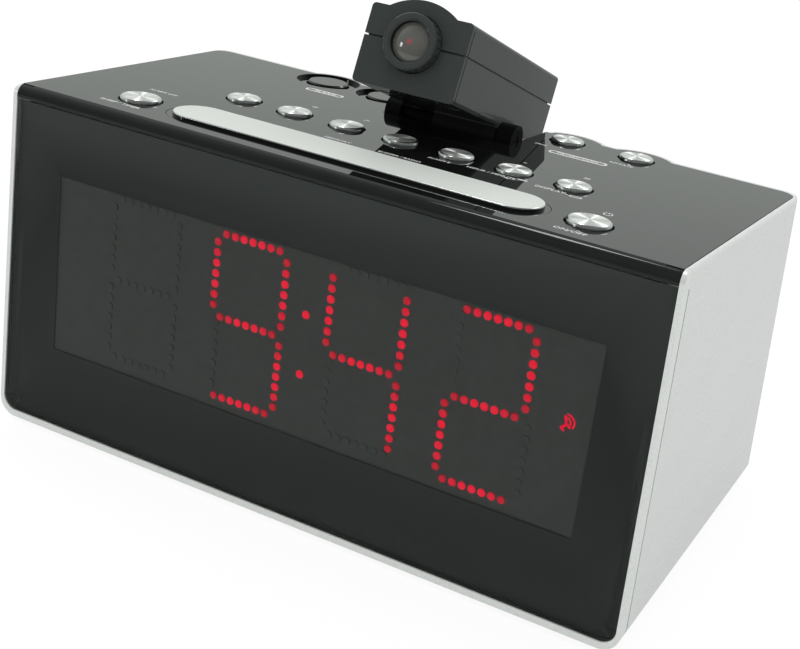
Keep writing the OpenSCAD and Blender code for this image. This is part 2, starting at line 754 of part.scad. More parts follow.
head_posts = [[-12.6, 14], [12.6, 14], [-12.6, 70], [12.6, 70]];
module projector_lower_shell() {
    color([0.09, 0.09, 0.09]) in_head() difference() {
        union() {
            difference() {
                head_block(-1, seam_h - 0.3);
                head_void(0, 40);
            }
            // lip that enters the upper shell
            difference() {
                intersection() {
                    along_head(head_t - 0.8, head_l - head_t + 0.8) head_outline(head_t - 0.8);
                    translate([-30, 0, seam_h - 3]) cube([60, head_l, 4.5]);
                }
                along_head(head_t, head_l - head_t) head_outline(head_t);
            }
            for (p = head_posts) translate([p[0], p[1], 0.5]) cylinder(r = 2.9, h = seam_h - 0.8);
            // knuckle of the hinge, off the middle
            difference() {
                translate([0, hinge_back, hinge_low]) {
                    along_x(-knuckle_x, ear_x - 0.4) circle(knuckle_r);
                    translate([-knuckle_x, -knuckle_r, 0])
                        cube([ear_x + knuckle_x - 0.9, 2 * knuckle_r, 4]);
                }
                translate([-30, 0, head_t - 0.1]) cube([60, head_l, 20]);
            }
            // cradle of the lens barrel
            translate([-10, 8, 1]) cube([20, 3, 9]);
            translate([-10, 20, 1]) cube([20, 3, 9]);
        }
        lens_axis(-1, 3, ring_r + 0.25);
        lens_axis(2.5, 24, 8.25);
        translate([0, hinge_back, hinge_low]) along_x(-20, 20) circle(pin_r + 0.05);
        for (p = head_posts) translate([p[0], p[1], -1]) {
            cylinder(r = 2.4, h = 3);
            cylinder(r = 1.3, h = seam_h + 3);
        }
        translate([-13.5, hinge_back - 3, -1]) cube([6, 6, 4]);
        for (m = [0, 1]) mirror([m, 0, 0]) translate([head_w / 2 - 0.35, 1.4, -1]) cube([2, 0.5, 40]);
    }
}

module projector_upper_shell() {
    bump_r = 21.8;
    bump_z = 7.4;
    color([0.09, 0.09, 0.09]) in_head() difference() {
        union() {
            difference() {
                head_block(seam_h + 0.3, 40);
                head_void(0, 40);
            }
            intersection() {
                translate([0, 0, bump_z]) rotate([-8.3, 0, 0]) translate([0, 40, 0]) rotate([90, 0, 0])
                    cylinder(r = bump_r, h = 60, $fn = 128);
                translate([-14, 0, head_h - 1.2]) cube([28, 40, 12]);
            }
            for (p = head_posts)
                translate([p[0], p[1], seam_h + 0.1]) cylinder(r = 2.6, h = head_h - seam_h - 1);
        }
        difference() {
            along_head(head_t - 0.9, head_l - head_t + 0.9) head_outline(head_t - 0.9);
            translate([-30, -5, seam_h + 1.6]) cube([60, 100, 40]);
            for (p = head_posts) translate([p[0], p[1], 0]) cylinder(r = 2.6, h = 30);
        }
        lens_axis(-1, 3, ring_r + 0.25);
        // room for the ring's flange behind the front wall
        lens_axis(head_t - 0.01, 3.6, 10.5);
        for (p = head_posts) translate([p[0], p[1], seam_h - 2]) cylinder(r = 1.05, h = 8);
        for (m = [0, 1]) mirror([m, 0, 0]) translate([head_w / 2 - 0.35, 1.4, -1]) cube([2, 0.5, 24.7]);
    }
}

module projector_screws() {
    color([0.6, 0.6, 0.6]) in_head() for (p = head_posts) translate([p[0], p[1], 0.4])
        screw(1, seam_h + 4, 2.2, 1.3);
}

module lens_barrel() {
    color([0.1, 0.1, 0.1]) in_head() difference() {
        lens_axis(3.6, 24, 8.2);
        lens_axis(3, 25, 7.35);
    }
}

module focus_ring() {
    color([0.09, 0.09, 0.09]) in_head() translate([0, 0, lens_up]) rotate([90, 0, 0]) difference() {
        rotate_extrude() polygon([[7.6, -3.1], [10.1, -3.1], [10.1, -2.1], [ring_r, -2.1], [ring_r, 4],
            [ring_r - 0.5, 4.5], [7.2, 4.5], [6.6, 3.9], [6.6, 3.6], [7.6, 3.6]]);
        for (i = [0:23]) rotate([0, 0, 15 * i]) translate([ring_r - 0.25, -0.35, 0.6]) cube([1, 0.7, 2.8]);
    }
}

module lens_carrier() {
    color([0.12, 0.12, 0.12]) in_head() difference() {
        lens_axis(-2.7, 14, 7.3);
        lens_axis(-3, 15, 5.8);
        lens_axis(-3, -0.8, 6.5);
    }
}

module projection_lens() {
    cap_r = 13.6;
    color([0.8, 0.85, 0.9, 0.5]) in_head() intersection() {
        lens_axis(-6, -0.85, 6.4);
        translate([0, cap_r - 4.1, lens_up]) sphere(r = cap_r);
    }
}

module optics_frame() {
    color([0.2, 0.2, 0.2]) in_head() difference() {
        union() {
            translate([-10.5, 26, head_t + 0.05]) cube([21, 34, 2]);
            for (y = [28, 36, 46]) translate([-10.5, y, head_t + 1]) cube([21, 2, 21]);
        }
        lens_axis(25, 45.5, 6);
        lens_axis(25, 49, 2.5);
    }
}

module slide_plate() {
    color([0.5, 0.55, 0.5]) in_head() translate([-9, 30.1, lens_up - 8]) cube([18, 1.6, 15]);
}

module condenser_lens() {
    color([0.8, 0.85, 0.9, 0.5]) in_head() intersection() {
        lens_axis(38.1, 45, 7.6);
        translate([0, 43.4 - 10, lens_up]) sphere(r = 10);
    }
}

module projector_lamp() {
    color([0.75, 0.75, 0.75]) in_head() {
        translate([-9, 48.1, lens_up - 8]) cube([18, 1.6, 15]);
        for (i = [-3:3]) translate([-0.5 + i * 2.8, 49.6, lens_up - 8]) cube([1, 8, 15]);
        lens_axis(46.2, 48.3, 2.4);
    }
}

cabinet_shell();
front_frame();
front_panel();
display_mask();
display_bezel();
top_front_strip();
top_cover();
projector_well();
hinge_pin();
friction_washers();
base_plate();
battery_door();
batteries();
battery_contacts();
rubber_feet();
led_housings();
led_dots_lit();
led_dots_dark();
display_board();
key_board();
key_switches();
main_board();
board_parts();
ferrite_antenna();
speaker();
power_inlet();
case_screws();
board_screws();
snooze_bar();
sleep_key();
power_key();
row_key(0);  // row_key_1
row_key(1);  // row_key_2
row_key(2);  // row_key_3
row_key(3);  // row_key_4
row_key(4);  // row_key_5
row_key(5);  // row_key_6
row_key(6);  // row_key_7
rear_key(35.4);  // rear_key_1
rear_key(60.6);  // rear_key_2
alarm_key(-60.6);  // alarm_key_1
alarm_key(-35.4);  // alarm_key_2
projector_lower_shell();
projector_upper_shell();
projector_screws();
lens_barrel();
optics_frame();
slide_plate();
condenser_lens();
projector_lamp();
focus_ring();
lens_carrier();
projection_lens();
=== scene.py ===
import math
import bmesh
import bpy
from mathutils import Matrix, Vector


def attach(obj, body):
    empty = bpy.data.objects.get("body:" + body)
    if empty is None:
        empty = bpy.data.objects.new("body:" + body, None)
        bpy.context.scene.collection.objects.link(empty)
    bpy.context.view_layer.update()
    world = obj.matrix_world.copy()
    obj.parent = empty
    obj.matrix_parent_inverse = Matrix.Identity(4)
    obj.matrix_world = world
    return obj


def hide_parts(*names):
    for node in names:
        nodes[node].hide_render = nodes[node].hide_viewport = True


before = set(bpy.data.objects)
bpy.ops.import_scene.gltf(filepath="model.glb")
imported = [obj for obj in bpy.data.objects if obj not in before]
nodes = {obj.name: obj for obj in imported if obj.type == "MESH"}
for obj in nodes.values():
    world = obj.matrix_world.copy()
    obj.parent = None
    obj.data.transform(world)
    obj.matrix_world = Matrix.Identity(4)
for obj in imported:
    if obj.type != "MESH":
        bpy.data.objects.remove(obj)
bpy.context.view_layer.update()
mm = 0.001  # the scene is in metres, and the sizes below are in millimetres unless a note says otherwise
tiny = 1e-6  # metres: points closer than this are one

# where the clock's own frames lie: the sloping top, the leaning front and the tilted projector head
layout = {
    "slope": math.radians(6.77),
    "lean": math.radians(5.0979),
    "headTilt": math.radians(25),
    "halfDepth": 71.915,
    "footHeight": 2.0,
    "topEdgeBack": 10.5,
    "topEdgeUp": 117.7,
    "hinge": (0, 89, 0.5),
    "headFront": (0, -44.6, 2.46),
}


def shifted(x, y, z):
    return Matrix.Translation((x * mm, y * mm, z * mm))


def tipped(angle):
    return Matrix.Rotation(angle, 4, "X")


front = -layout["halfDepth"]
feet = layout["footHeight"]
topFrame = shifted(0, layout["topEdgeBack"] + front, layout["topEdgeUp"] + feet) @ tipped(-layout["slope"])
frontFrame = shifted(0, front, feet) @ tipped(-layout["lean"])
headFrame = (topFrame @ shifted(*layout["hinge"]) @ tipped(layout["slope"] - layout["headTilt"])
             @ shifted(*layout["headFront"]))


def addCamera():
    # stands where the photograph was taken from; places in metres
    view = {
        "place": (0.2190, -0.422415, 0.2811),
        "right": (0.86724, 0.49192, 0.07692),
        "down": (0.28049, -0.35505, -0.89178),
        "ahead": (-0.41137, 0.79496, -0.44589),
        "lens": 69.25,
        "sensor": 36,
        "nearest": 0.01,
    }
    camera = bpy.data.objects.new("photoCamera", bpy.data.cameras.new("photoCamera"))
    bpy.context.scene.collection.objects.link(camera)
    turn = Matrix((view["right"], -Vector(view["down"]), -Vector(view["ahead"]))).transposed().to_4x4()
    camera.matrix_world = Matrix.Translation(view["place"]) @ turn
    camera.data.lens = view["lens"]
    camera.data.sensor_width = view["sensor"]
    camera.data.clip_start = view["nearest"]
    bpy.context.scene.camera = camera


addCamera()
print("camera stands")


# short ways to build a node tree: a socket takes a plain value or another node's output,
# and an underscore in a keyword stands for the space in a socket's name
def feed(tree, socket, value):
    if isinstance(value, bpy.types.NodeSocket):
        tree.links.new(value, socket)
    else:
        socket.default_value = value


def fill(tree, node, **values):
    for name, value in values.items():
        feed(tree, node.inputs[name.replace("_", " ")], value)


def addNode(tree, kind, *operands, operation=None, **values):
    # the operands fill the node's first sockets in their order
    made = tree.nodes.new(kind)
    if operation:
        made.operation = operation
    for socket, value in zip(made.inputs, operands):
        feed(tree, socket, value)
    fill(tree, made, **values)
    return made


def addMix(tree, share, dark, light):
    made = tree.nodes.new("ShaderNodeMix")
    made.data_type = "RGBA"
    fill(tree, made, Factor=share, A=dark, B=light)
    return made.outputs["Result"]


def toned(colour, share=1):
    # a darker or lighter tone of a colour, as a socket takes it
    return [c * share for c in colour] + [1]


# shader groups that several finishes share
def newGroup(name, inputs, outputs):
    group = bpy.data.node_groups.new(name, "ShaderNodeTree")
    for socketName, (kind, value) in inputs.items():
        socket = group.interface.new_socket(name=socketName, in_out="INPUT", socket_type="NodeSocket" + kind)
        if value is not None:
            socket.default_value = value
    for socketName, kind in outputs.items():
        group.interface.new_socket(name=socketName, in_out="OUTPUT", socket_type="NodeSocket" + kind)
    return group, group.nodes.new("NodeGroupInput").outputs, group.nodes.new("NodeGroupOutput")


def makeMoulding():
    # moulded plastic: fine grain for bump, broad cloudiness for gloss
    group, given, result = newGroup(
        "mouldedSurface",
        {"Vector": ("Vector", None), "Grain Scale": ("Float", 900.0), "Cloud Scale": ("Float", 30.0),
         "Low": ("Float", 0.1), "High": ("Float", 0.2)},
        {"Grain": "Float", "Roughness": "Float"})
    grain = addNode(group, "ShaderNodeTexNoise", Vector=given["Vector"], Scale=given["Grain Scale"],
                    Detail=3)
    cloud = addNode(group, "ShaderNodeTexNoise", Vector=given["Vector"], Scale=given["Cloud Scale"],
                    Detail=4)
    spread = addNode(group, "ShaderNodeMapRange", Value=cloud.outputs["Fac"], From_Min=0.3, From_Max=0.7,
                     To_Min=given["Low"], To_Max=given["High"])
    fill(group, result, Grain=grain.outputs["Fac"], Roughness=spread.outputs["Result"])
    return group


def makeFlake():
    # metallic lacquer: tiny flakes that vary the colour between two tones
    group, given, result = newGroup(
        "metalFlake",
        {"Vector": ("Vector", None), "Flake Scale": ("Float", 2600.0),
         "Dark": ("Color", (0.5, 0.5, 0.5, 1)), "Light": ("Color", (0.7, 0.7, 0.7, 1))},
        {"Color": "Color"})
    cells = addNode(group, "ShaderNodeTexVoronoi", Vector=given["Vector"], Scale=given["Flake Scale"])
    split = addNode(group, "ShaderNodeSeparateColor", Color=cells.outputs["Color"])
    fill(group, result, Color=addMix(group, split.outputs["Red"], given["Dark"], given["Light"]))
    return group


def makeRings():
    # turned metal: fine lines that run round the local Z axis
    group, given, result = newGroup(
        "turnedRings",
        {"Vector": ("Vector", None), "Rings": ("Float", 4000.0)},
        {"Lines": "Float"})
    parts = addNode(group, "ShaderNodeSeparateXYZ", Vector=given["Vector"])
    flat = addNode(group, "ShaderNodeCombineXYZ", X=parts.outputs["X"], Y=parts.outputs["Y"])
    radius = addNode(group, "ShaderNodeVectorMath", flat.outputs["Vector"], operation="LENGTH")
    lines = addNode(group, "ShaderNodeTexNoise", Detail=5)
    lines.noise_dimensions = "1D"
    fill(group, lines, W=radius.outputs["Value"], Scale=given["Rings"])
    fill(group, result, Lines=lines.outputs["Fac"])
    return group


mouldedSurface = makeMoulding()
metalFlake = makeFlake()
turnedRings = makeRings()


class Finish:
    # a material with its Principled shader and short ways to add nodes
    def __init__(self, name, **values):
        self.material = bpy.data.materials.new(name)
        self.material.use_nodes = True
        self.tree = self.material.node_tree
        self.shader = self.tree.nodes["Principled BSDF"]
        self.place = self.node("ShaderNodeTexCoord").outputs["Object"]
        self.set(**values)

    def set(self, **values):
        fill(self.tree, self.shader, **values)

    def node(self, kind, *operands, **values):
        return addNode(self.tree, kind, *operands, **values)

    def mix(self, share, dark, light):
        return addMix(self.tree, share, dark, light)

    def group(self, shared, vector=None, **values):
        made = self.node("ShaderNodeGroup")
        made.node_tree = shared
        fill(self.tree, made, Vector=self.place if vector is None else vector, **values)
        return made.outputs

    def local(self, place):
        # Object coordinates seen from another frame of the clock
        made = self.node("ShaderNodeMapping")
        made.vector_type = "TEXTURE"
        fill(self.tree, made, Vector=self.place, Location=place.to_translation(), Rotation=place.to_euler())
        return made.outputs["Vector"]

    def bump(self, height, strength, depth=0.1 * mm):
        made = self.node("ShaderNodeBump", Height=height, Strength=strength, Distance=depth)
        self.set(Normal=made.outputs["Normal"])


def mouldedPlastic(name, colour, low, high, ior=1.5, bump=0.02, grain=900.0, tone=0.12):
    finish = Finish(name, IOR=ior)
    surface = finish.group(mouldedSurface, Grain_Scale=grain, Low=low, High=high)
    shade = finish.mix(surface["Grain"], toned(colour, 1 - tone), toned(colour, 1 + tone))
    finish.set(Base_Color=shade, Roughness=surface["Roughness"])
    finish.bump(surface["Grain"], bump)
    return finish.material


def silverLacquer(name, dark, light, roughness, spread=0.03, bump=0.03):
    finish = Finish(name, Metallic=0.3, IOR=1.5, Coat_Weight=0.15, Coat_Roughness=0.12)
    flake = finish.group(metalFlake, Dark=toned(dark), Light=toned(light))
    surface = finish.group(mouldedSurface, Grain_Scale=2200.0, Cloud_Scale=22.0,
                           Low=roughness - spread, High=roughness + spread)
    finish.set(Base_Color=flake["Color"], Roughness=surface["Roughness"])
    finish.bump(surface["Grain"], bump)
    return finish.material


def plainMetal(name, colour, roughness, bump=0.05, darkest=0.92, smoother=0.04, duller=0.06):
    finish = Finish(name, Metallic=1.0)
    surface = finish.group(mouldedSurface, Grain_Scale=1500.0,
                           Low=roughness - smoother, High=roughness + duller)
    shade = finish.mix(surface["Grain"], toned(colour, darkest), toned(colour))
    finish.set(Base_Color=shade, Roughness=surface["Roughness"])
    finish.bump(surface["Grain"], bump)
    return finish.material


def headMoulding(name, colour, hingeShadeColour):
    # the knuckle under the head is painted a deeper black than its shells, as shade under the head, and is
    # duller
    head = {"ior": 1.25, "low": 0.06, "high": 0.10, "tone": 0.1, "bump": 0.006,
            "hingeRoughness": 0.5, "hingeTop": -0.4 * mm, "shellFoot": -0.1 * mm}
    finish = Finish(name, IOR=head["ior"])
    surface = finish.group(mouldedSurface, Low=head["low"], High=head["high"])
    shade = finish.mix(surface["Grain"], toned(colour, 1 - head["tone"]), toned(colour, 1 + head["tone"]))
    parts = finish.node("ShaderNodeSeparateXYZ", Vector=finish.local(headFrame))
    outsidePaintedShade = finish.node("ShaderNodeMapRange", Value=parts.outputs["Z"],
                        From_Min=head["hingeTop"], From_Max=head["shellFoot"]).outputs["Result"]
    gloss = finish.node("ShaderNodeMix", Factor=outsidePaintedShade, A=head["hingeRoughness"], B=surface["Roughness"])
    finish.set(Base_Color=finish.mix(outsidePaintedShade, toned(hingeShadeColour), shade), Roughness=gloss.outputs["Result"])
    finish.bump(surface["Grain"], head["bump"])
    return finish.material


def coatedLens(name, nodeName):
    # a coated lens: grey-brown, partly its tint and partly painted reflection of the room, with a painted
    # red glow of the lamp's light on its axis, clear in front and ground behind
    lens = {
        "clarity": 0.4, "ior": 1.75,
        "dark": (0.115, 0.135, 0.11), "light": (0.18, 0.165, 0.155), "cloud": 160.0,
        "paintedGlow": (0.75, 0.04, 0.09), "paintedGlowShare": 0.62, "paintedGlowCore": 0.2 * mm, "paintedGlowEdge": 1.3 * mm,
        "clearRoughness": 0.01, "groundRoughness": 0.5, "clearTo": -0.1 * mm, "groundFrom": 0.2 * mm,
    }
    # the lens's middle and its axis, Y, in the head's frame
    inside = headFrame.inverted()
    spots = [inside @ vert.co for vert in nodes[nodeName].data.vertices]
    middle = [(min(along) + max(along)) / 2 for along in zip(*spots)]
    finish = Finish(name, Transmission_Weight=lens["clarity"], IOR=lens["ior"])
    own = finish.local(headFrame @ Matrix.Translation(middle))
    across = finish.node("ShaderNodeVectorMath", own, (1, 0, 1), operation="MULTIPLY")
    radius = finish.node("ShaderNodeVectorMath", across.outputs["Vector"], operation="LENGTH")
    # painted glow: the lamp's red light is painted into the colour round the lens's axis
    paintedGlow = finish.node("ShaderNodeMapRange", Value=radius.outputs["Value"], From_Min=lens["paintedGlowCore"],
                        From_Max=lens["paintedGlowEdge"], To_Min=lens["paintedGlowShare"], To_Max=0.0)
    # the grey-brown tone is the lens's tint and also painted reflection of the room
    cloud = finish.node("ShaderNodeTexNoise", Vector=own, Scale=lens["cloud"], Detail=1.0)
    tintAndReflection = finish.mix(cloud.outputs["Fac"], toned(lens["dark"]), toned(lens["light"]))
    parts = finish.node("ShaderNodeSeparateXYZ", Vector=own)
    ground = finish.node("ShaderNodeMapRange", Value=parts.outputs["Y"],
                         From_Min=lens["clearTo"], From_Max=lens["groundFrom"],
                         To_Min=lens["clearRoughness"], To_Max=lens["groundRoughness"])
    finish.set(Base_Color=finish.mix(paintedGlow.outputs["Result"], tintAndReflection, toned(lens["paintedGlow"])),
               Roughness=ground.outputs["Result"])
    return finish.material


def smokedGlass(name, colour, ior):
    finish = Finish(name, Transmission_Weight=1.0, IOR=ior, Base_Color=toned(colour))
    surface = finish.group(mouldedSurface, Cloud_Scale=12.0, Low=0.0, High=0.012)
    finish.set(Roughness=surface["Roughness"])
    return finish.material


def glowing(name, colour, strength, dim):
    # lit from inside and a little uneven; its own surface is a dark tone of the light
    finish = Finish(name, Roughness=0.4, Base_Color=toned(colour, 0.1), Emission_Strength=strength)
    patch = finish.node("ShaderNodeTexNoise", Vector=finish.place, Scale=400.0, Detail=1.0)
    finish.set(Emission_Color=finish.mix(patch.outputs["Fac"], toned(colour, dim), toned(colour)))
    return finish.material


# low and high are the ends of a plastic's roughness, tone is how far its colour strays
lacquers = {
    "silverCase": dict(dark=(0.64, 0.645, 0.64), light=(0.74, 0.745, 0.74), roughness=0.34),
    "silverFrame": dict(dark=(0.68, 0.70, 0.68), light=(0.76, 0.78, 0.76), roughness=0.30),
}
plastics = {
    "blackFilm": dict(colour=(0.150, 0.161, 0.161), low=0.6, high=0.7, ior=1.1, bump=0.0, tone=0.04),
    "ledFace": dict(colour=(0.206, 0.209, 0.207), low=0.6, high=0.7, ior=1.1, grain=300.0),
    # the unlit dots are painted a little lighter than the housing face, as painted light that offsets the
    # shade round their raised rims
    "darkLed": dict(colour=(0.212, 0.215, 0.213), low=0.6, high=0.7, ior=1.1, bump=0.0, grain=300.0),
    "glossCover": dict(colour=(0.005, 0.0055, 0.005), low=0.01, high=0.02, ior=1.56, bump=0.0015, grain=120),
    "glossStrip": dict(colour=(0.012, 0.014, 0.013), low=0.04, high=0.07, ior=1.32, bump=0.002, grain=120),
    # painted shade: the well, hinge pin and washers under the head are near black and dull
    "wellPlastic": dict(colour=(0.004, 0.0045, 0.004), low=0.2, high=0.3, ior=1.1, bump=0.01),
    "mattePlastic": dict(colour=(0.018, 0.019, 0.018), low=0.42, high=0.55, bump=0.12),
    "basePlastic": dict(colour=(0.025, 0.026, 0.026), low=0.5, high=0.62, bump=0.2, grain=1400.0),
    "rubber": dict(colour=(0.03, 0.03, 0.03), low=0.7, high=0.85, bump=0.2),
    "boardGreen": dict(colour=(0.02, 0.11, 0.05), low=0.3, high=0.45, tone=0.25, grain=200.0),
    "chipBlack": dict(colour=(0.025, 0.025, 0.027), low=0.45, high=0.6, bump=0.1),
    "cellSleeve": dict(colour=(0.05, 0.16, 0.07), low=0.2, high=0.3),
    "ferrite": dict(colour=(0.05, 0.048, 0.047), low=0.6, high=0.75, bump=0.2),
    "printedInk": dict(colour=(0.70, 0.72, 0.70), low=0.5, high=0.6, bump=0.05, tone=0.1),
}
metals = {
    "steel": dict(colour=(0.58, 0.58, 0.59), roughness=0.3),
    # painted shade: a darker metal than the key tops, for the rolled edges of the keys and the bar
    "polishedEdge": dict(colour=(0.64, 0.67, 0.66), roughness=0.24, bump=0.004),
}
glasses = {
    "smokedPanel": dict(colour=(0.70, 0.71, 0.70), ior=1.18),
    "clearLens": dict(colour=(0.93, 0.94, 0.95), ior=1.5),
}
makers = ((silverLacquer, lacquers), (mouldedPlastic, plastics),
          (plainMetal, metals), (smokedGlass, glasses))
finishes = {name: make(name, **look) for make, looks in makers for name, look in looks.items()}
# the second colour is painted shade on the knuckle under the head
finishes["headPlastic"] = headMoulding("headPlastic", (0.041, 0.0465, 0.0455), (0.004, 0.0045, 0.0042))
finishes["coatedLens"] = coatedLens("coatedLens", "projection_lens")
finishes["lampGlow"] = glowing("lampGlow", (0.9, 0.05, 0.04), strength=0.15, dim=0.6)

nodeFinish = {
    "silverCase": ["cabinet_shell"],
    "silverFrame": ["front_frame"],
    "smokedPanel": ["front_panel"],
    "blackFilm": ["display_mask"],
    "ledFace": ["led_housings"],
    "glossCover": ["top_cover", "alarm_key_1", "alarm_key_2"],
    "glossStrip": ["top_front_strip"],
    "headPlastic": ["projector_lower_shell", "projector_upper_shell", "focus_ring"],
    "wellPlastic": ["projector_well", "hinge_pin", "friction_washers"],
    "mattePlastic": ["display_bezel", "lens_barrel", "lens_carrier", "optics_frame", "power_inlet"],
    "basePlastic": ["base_plate", "battery_door"],
    "rubber": ["rubber_feet"],
    "boardGreen": ["display_board", "key_board", "main_board"],
    "chipBlack": ["key_switches", "board_parts", "speaker"],
    "cellSleeve": ["batteries"],
    "ferrite": ["ferrite_antenna"],
    "darkLed": ["led_dots_dark"],
    "steel": ["battery_contacts", "case_screws", "board_screws", "projector_screws", "projector_lamp"],
    "lampGlow": ["slide_plate"],
    "coatedLens": ["projection_lens"],
    "clearLens": ["condenser_lens"],
}
for finishName, nodeNames in nodeFinish.items():
    for nodeName in nodeNames:
        nodes[nodeName].data.materials.clear()
        nodes[nodeName].data.materials.append(finishes[finishName])
print("finishes are on the frame's nodes")


# short ways to shape a piece
def onlyVerts(geom):
    return [g for g in geom if isinstance(g, bmesh.types.BMVert)]


def spinOutline(mesh, outline, steps):
    # turns (radius, height) points round the Z axis, closes seam and poles, and gives back the new points
    points = [mesh.verts.new((r * mm, 0, z * mm)) for r, z in outline]
    edges = [mesh.edges.new(pair) for pair in zip(points, points[1:])]
    bmesh.ops.spin(mesh, geom=points + edges, cent=(0, 0, 0), axis=(0, 0, 1), angle=2 * math.pi, steps=steps,
                   use_merge=True, use_duplicate=False)
    reach = max(r for r, z in outline) * mm + tiny
    bmesh.ops.remove_doubles(mesh, verts=[v for v in mesh.verts if v.co.to_2d().length < reach], dist=tiny)
    return [v for v in mesh.verts if v.co.to_2d().length < reach]


def rollEdge(mesh, rim, fillet):
    bmesh.ops.bevel(mesh, geom=rim, offset=fillet * mm, segments=6, profile=0.5, affect="EDGES", material=-1)


def finishPiece(name, mesh, place, materials, body, sharp=35):
    # moves the shape into the clock's frame, so that the object stays at the origin
    mesh.transform(place)
    bmesh.ops.recalc_face_normals(mesh, faces=mesh.faces)
    data = bpy.data.meshes.new(name)
    mesh.to_mesh(data)
    mesh.free()
    piece = bpy.data.objects.new(name, data)
    bpy.context.scene.collection.objects.link(piece)
    for material in materials:
        data.materials.append(material)
    for face in data.polygons:
        face.use_smooth = True
    data.set_sharp_from_angle(angle=math.radians(sharp))
    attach(piece, body)
    return piece


keyShape = {"foot": -4.4, "stemRadius": 2.5, "flangeReach": 1.5, "flangeFoot": -3.65, "flangeTop": -2.65,
            "steps": 72, "faceDepth": 0.05}
keyMetal = {"colour": (0.95, 0.96, 0.94), "darkest": 0.9, "metallic": 0.92, "streaks": 0.95,
            "low": 0.41, "high": 0.54, "rings": 5200.0, "bump": 0.12, "groove": 0.04 * mm}


def turnedMetal(name, place):
    # the rings run round the key's own axis, so its frame is undone in a Mapping node
    finish = Finish(name, Metallic=keyMetal["metallic"], Anisotropic=keyMetal["streaks"])
    lines = finish.group(turnedRings, finish.local(place), Rings=keyMetal["rings"])["Lines"]
    shade = finish.mix(lines, toned(keyMetal["colour"], keyMetal["darkest"]), toned(keyMetal["colour"]))
    spread = finish.node("ShaderNodeMapRange", Value=lines, To_Min=keyMetal["low"], To_Max=keyMetal["high"])
    finish.set(Base_Color=shade, Roughness=spread.outputs["Result"])
    finish.bump(lines, keyMetal["bump"], keyMetal["groove"])
    # fine rings spread the reflection outwards from the middle
    outwards = finish.node("ShaderNodeVectorMath", finish.place, place.to_translation(),
                           operation="SUBTRACT")
    finish.set(Tangent=outwards.outputs["Vector"])
    return finish.material


def roundKey(nodeName, x, run, size):
    # one turned key: cap with a rolled edge, flange under the cover, stem
    radius, top = size["radius"], size["top"]
    stem, flange = keyShape["stemRadius"], radius + keyShape["flangeReach"]
    foot, low, high = keyShape["foot"], keyShape["flangeFoot"], keyShape["flangeTop"]
    outline = [(0, foot), (stem, foot), (stem, low), (flange, low), (flange, high),
               (radius, high), (radius, top), (0, top)]

    def onRim(vert):
        return abs(vert.co.z - top * mm) < tiny and abs(vert.co.to_2d().length - radius * mm) < tiny

    mesh = bmesh.new()
    spinOutline(mesh, outline, keyShape["steps"])
    rollEdge(mesh, [e for e in mesh.edges if all(onRim(v) for v in e.verts)], size["fillet"])
    mesh.normal_update()
    for face in mesh.faces:
        turnedFace = face.calc_center_median().z > (top - keyShape["faceDepth"]) * mm
        face.material_index = 0 if turnedFace else 1
    place = topFrame @ shifted(x, run, 0)
    materials = [turnedMetal(nodeName + "Cap", place), finishes["polishedEdge"]]
    piece = finishPiece(nodeName + "_turned", mesh, place, materials, nodeName + "_body",
                        sharp=40)
    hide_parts(nodeName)


largeCap = {"radius": 6.75, "top": 1.4, "fillet": 1.05}
smallCap = {"radius": 5.75, "top": 1.3, "fillet": 0.95}
keyRow = {"count": 7, "pitch": 20.2, "run": 52}
# x across the clock and the run up its sloping cover
metalKeys = {
    "sleep_key": (-79, 19.6, largeCap),
    "power_key": (79, 19.6, largeCap),
    "rear_key_1": (35.4, 106.5, smallCap),
    "rear_key_2": (60.6, 106.5, smallCap),
}
for index in range(keyRow["count"]):
    x = (index - keyRow["count"] // 2) * keyRow["pitch"]
    metalKeys["row_key_%d" % (index + 1)] = (x, keyRow["run"], smallCap)
for keyName, values in metalKeys.items():
    roundKey(keyName, *values)
print("turned keys are made")


# the long bar: a satin plate on a black carrier that fills the slot, and a flange and stems under it;
# each shift is taken from the plate's middle, which stands a little back from the slot's
bar = {
    "slotRun": 19.6,
    "back": 0.45,
    "fillet": 0.4,
    "faceDepth": 0.03,
    "plate": dict(length=128.8, width=18.4, shift=0, low=-0.3, high=1.2),
    "carrier": dict(length=132.8, width=19.6, shift=-0.45, low=-2.65, high=-0.05),
    "flange": dict(length=133.4, width=23, shift=-0.15, low=-3.65, high=-2.65),
    "stems": (-45, 0, 45),
    "stemRadius": 2.5,
    "stemFoot": -4.4,
}
barMetal = {"metallic": 0.25, "dark": (0.62, 0.65, 0.62), "light": (0.685, 0.71, 0.675),
            "low": 0.42, "high": 0.52, "brushing": (40, 2600, 40), "bump": 0.04, "scratch": 0.05 * mm}


def satinMetal():
    # fine brushing that runs along the bar
    finish = Finish("satinBar", Metallic=barMetal["metallic"])
    stretch = finish.node("ShaderNodeMapping", Vector=finish.place, Scale=barMetal["brushing"])
    noise = finish.node("ShaderNodeTexNoise", Vector=stretch.outputs["Vector"], Scale=1.0, Detail=3.0)
    brushing = noise.outputs["Fac"]
    spread = finish.node("ShaderNodeMapRange", Value=brushing,
                         To_Min=barMetal["low"], To_Max=barMetal["high"])
    finish.set(Base_Color=finish.mix(brushing, toned(barMetal["dark"]), toned(barMetal["light"])),
               Roughness=spread.outputs["Result"])
    finish.bump(brushing, barMetal["bump"], barMetal["scratch"])
    return finish.material


def addPill(mesh, length, width, shift, low, high):
    # a slab with round ends
    sides = 64
    straight = (length - width) / 2 * mm
    disc = bmesh.ops.create_circle(mesh, cap_ends=True, radius=width / 2 * mm, segments=sides)["verts"]
    for vert in disc:
        vert.co.x += math.copysign(straight, vert.co.x) if abs(vert.co.x) > tiny else straight
    bmesh.ops.translate(mesh, vec=(0, shift * mm, low * mm), verts=disc)
    face = [f for f in disc[0].link_faces if len(f.verts) == sides][0]
    raised = bmesh.ops.extrude_face_region(mesh, geom=[face], use_keep_orig=True)
    bmesh.ops.translate(mesh, vec=(0, 0, (high - low) * mm), verts=onlyVerts(raised["geom"]))


